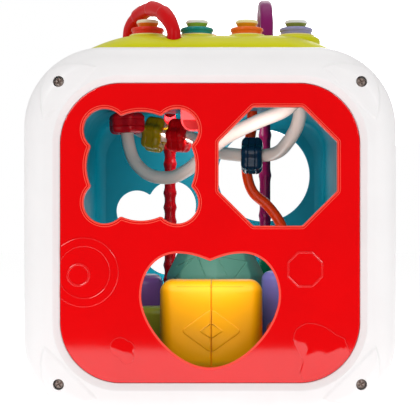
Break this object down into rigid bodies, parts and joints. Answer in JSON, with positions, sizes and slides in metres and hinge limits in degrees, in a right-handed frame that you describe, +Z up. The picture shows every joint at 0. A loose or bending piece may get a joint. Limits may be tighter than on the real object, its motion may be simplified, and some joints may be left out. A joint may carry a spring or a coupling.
{
  "type": "baby activity cube",
  "caption": "Rounded activity cube with shape-sorting holes front and back, a bead maze inside, turning rings round push buttons on top and loose blocks in its bin.",
  "frame": {"origin": "middle of the underside of the case, on the floor the cube stands on", "axes": "+Z up; -Y towards the front, the face with the bear, octagon and heart holes; +X to the right seen from the front"},
  "size_m": [0.3, 0.3, 0.363],
  "materials": {
    "white_shell": "satin white moulding",
    "red_gloss": "high gloss red",
    "teal_gloss": "gloss teal",
    "lime_gloss": "satin lime",
    "cream_satin": "satin cream",
    "crimson_gloss": "gloss dark red",
    "olive_gloss": "gloss olive",
    "navy_gloss": "gloss navy",
    "yellow_gloss": "gloss yellow",
    "mint_gloss": "gloss mint",
    "purple_gloss": "gloss purple",
    "plum_gloss": "gloss plum",
    "periwinkle_gloss": "gloss periwinkle",
    "lilac_gloss": "satin lilac",
    "orange_gloss": "gloss orange",
    "green_gloss": "gloss dark green",
    "blue_gloss": "gloss blue",
    "steel": "plated steel",
    "circuit_laminate": "green laminate",
    "black_plastic": "matte black"
  },
  "bodies": {
    "case": {"front_housing": "white_shell", "rear_housing": "white_shell", "base_panel": "white_shell", "front_panel": "red_gloss", "panel_bracket": "red_gloss", "back_panel": "teal_gloss", "inner_tub": "teal_gloss", "left_panel": "blue_gloss", "right_panel": "orange_gloss", "gear_pin_large": "white_shell", "gear_pin_front": "white_shell", "gear_pin_rear": "white_shell", "top_deck": "lime_gloss", "battery_door": "lime_gloss", "circuit_board": "circuit_laminate", "speaker": "black_plastic", "battery_box": "black_plastic", "battery_1": "steel", "battery_2": "steel", "battery_door_screw": "steel", "red_arch": "red_gloss", "purple_arch": "plum_gloss", "orange_arch": "orange_gloss", "cream_tube_front": "cream_satin", "cream_tube_rear": "cream_satin", "orange_tube": "orange_gloss", "red_post": "crimson_gloss", "purple_post": "plum_gloss", "case_screw_1": "steel", "button_spring_1": "steel", "case_screw_2": "steel", "button_spring_2": "steel", "case_screw_3": "steel", "button_spring_3": "steel", "case_screw_4": "steel", "button_spring_4": "steel"},
    "button_1": {"button_1": "cream_satin"},
    "button_ring_1": {"button_ring_1": "red_gloss"},
    "button_2": {"button_2": "cream_satin"},
    "button_ring_2": {"button_ring_2": "teal_gloss"},
    "button_3": {"button_3": "cream_satin"},
    "button_ring_3": {"button_ring_3": "orange_gloss"},
    "button_4": {"button_4": "cream_satin"},
    "button_ring_4": {"button_ring_4": "lilac_gloss"},
    "bead_crimson": {"bead_crimson": "crimson_gloss"},
    "bead_olive": {"bead_olive": "olive_gloss"},
    "bead_red": {"bead_red": "red_gloss"},
    "bead_navy": {"bead_navy": "navy_gloss"},
    "gear_large": {"gear_large": "yellow_gloss"},
    "gear_front": {"gear_front": "orange_gloss"},
    "gear_rear": {"gear_rear": "periwinkle_gloss"},
    "slider_knob": {"slider_knob": "lime_gloss"},
    "yellow_block": {"yellow_block": "yellow_gloss"},
    "orange_block": {"orange_block": "orange_gloss"},
    "lime_block": {"lime_block": "lime_gloss"},
    "periwinkle_block": {"periwinkle_block": "periwinkle_gloss"},
    "purple_block": {"purple_block": "purple_gloss"},
    "green_block": {"green_block": "green_gloss"},
    "mint_block": {"mint_block": "mint_gloss"}
  },
  "joints": [
    {"name": "button_1_press", "type": "slide", "parent": "case", "child": "button_1", "axis": [0, 0, -1], "range_m": [0, 0.003], "stiffness_N_per_m": 150, "springref_m": -0.002, "deforming": ["button_spring_1"]},
    {"name": "button_ring_1_spin", "type": "hinge", "parent": "case", "child": "button_ring_1", "pos_m": [-0.0535, -0.06, 0.323], "axis": [0, 0, 1], "continuous": true},
    {"name": "button_2_press", "type": "slide", "parent": "case", "child": "button_2", "axis": [0, 0, -1], "range_m": [0, 0.003], "stiffness_N_per_m": 150, "springref_m": -0.002, "deforming": ["button_spring_2"]},
    {"name": "button_ring_2_spin", "type": "hinge", "parent": "case", "child": "button_ring_2", "pos_m": [-0.0112, -0.06, 0.323], "axis": [0, 0, 1], "continuous": true},
    {"name": "button_3_press", "type": "slide", "parent": "case", "child": "button_3", "axis": [0, 0, -1], "range_m": [0, 0.003], "stiffness_N_per_m": 150, "springref_m": -0.002, "deforming": ["button_spring_3"]},
    {"name": "button_ring_3_spin", "type": "hinge", "parent": "case", "child": "button_ring_3", "pos_m": [0.0316, -0.06, 0.323], "axis": [0, 0, 1], "continuous": true},
    {"name": "button_4_press", "type": "slide", "parent": "case", "child": "button_4", "axis": [0, 0, -1], "range_m": [0, 0.003], "stiffness_N_per_m": 150, "springref_m": -0.002, "deforming": ["button_spring_4"]},
    {"name": "button_ring_4_spin", "type": "hinge", "parent": "case", "child": "button_ring_4", "pos_m": [0.0739, -0.06, 0.323], "axis": [0, 0, 1], "continuous": true},
    {"name": "bead_crimson_spin", "type": "hinge", "parent": "case", "child": "bead_crimson", "pos_m": [-0.07702, 0.03502, 0.25161], "axis": [0.0269, -0.0269, -0.9993], "continuous": true},
    {"name": "bead_olive_spin", "type": "hinge", "parent": "case", "child": "bead_olive", "pos_m": [-0.0523, 0.06527, 0.24337], "axis": [0.9387, -0.3012, -0.168], "continuous": true},
    {"name": "bead_red_spin", "type": "hinge", "parent": "case", "child": "bead_red", "pos_m": [-0.0286, 0.05784, 0.24196], "axis": [0.9276, -0.3613, -0.0954], "continuous": true},
    {"name": "bead_navy_spin", "type": "hinge", "parent": "case", "child": "bead_navy", "pos_m": [0.03814, 0.00698, 0.22025], "axis": [0.997, -0.0745, -0.0212], "continuous": true},
    {"name": "gear_large_spin", "type": "hinge", "parent": "case", "child": "gear_large", "pos_m": [-0.1434, 0, 0.158], "axis": [-1, 0, 0], "continuous": true},
    {"name": "gear_front_spin", "type": "hinge", "parent": "case", "child": "gear_front", "pos_m": [-0.1434, -0.05174, 0.13657], "axis": [-1, 0, 0], "continuous": true},
    {"name": "gear_rear_spin", "type": "hinge", "parent": "case", "child": "gear_rear", "pos_m": [-0.1434, 0.05174, 0.13657], "axis": [-1, 0, 0], "continuous": true},
    {"name": "slider_run", "type": "slide", "parent": "case", "child": "slider_knob", "axis": [0, 1, 0], "range_m": [0, 0.1]},
    {"name": "yellow_block_lift", "type": "slide", "parent": "case", "child": "yellow_block", "axis": [0, 0, 1], "range_m": [0, 0.03]},
    {"name": "orange_block_lift", "type": "slide", "parent": "case", "child": "orange_block", "axis": [0, 0, 1], "range_m": [0, 0.03]},
    {"name": "lime_block_lift", "type": "slide", "parent": "case", "child": "lime_block", "axis": [0, 0, 1], "range_m": [0, 0.03]},
    {"name": "periwinkle_block_lift", "type": "slide", "parent": "case", "child": "periwinkle_block", "axis": [0, 0, 1], "range_m": [0, 0.03]},
    {"name": "purple_block_lift", "type": "slide", "parent": "case", "child": "purple_block", "axis": [0, 0, 1], "range_m": [0, 0.03]},
    {"name": "green_block_lift", "type": "slide", "parent": "case", "child": "green_block", "axis": [0, 0, 1], "range_m": [0, 0.03]},
    {"name": "mint_block_lift", "type": "slide", "parent": "case", "child": "mint_block", "axis": [0, 0, 1], "range_m": [0, 0.03]}
  ],
  "couplings": [
    {"joint": "gear_front_spin", "follows": "gear_large_spin", "ratio": -1.3333},
    {"joint": "gear_rear_spin", "follows": "gear_large_spin", "ratio": -1.3333}
  ]
}
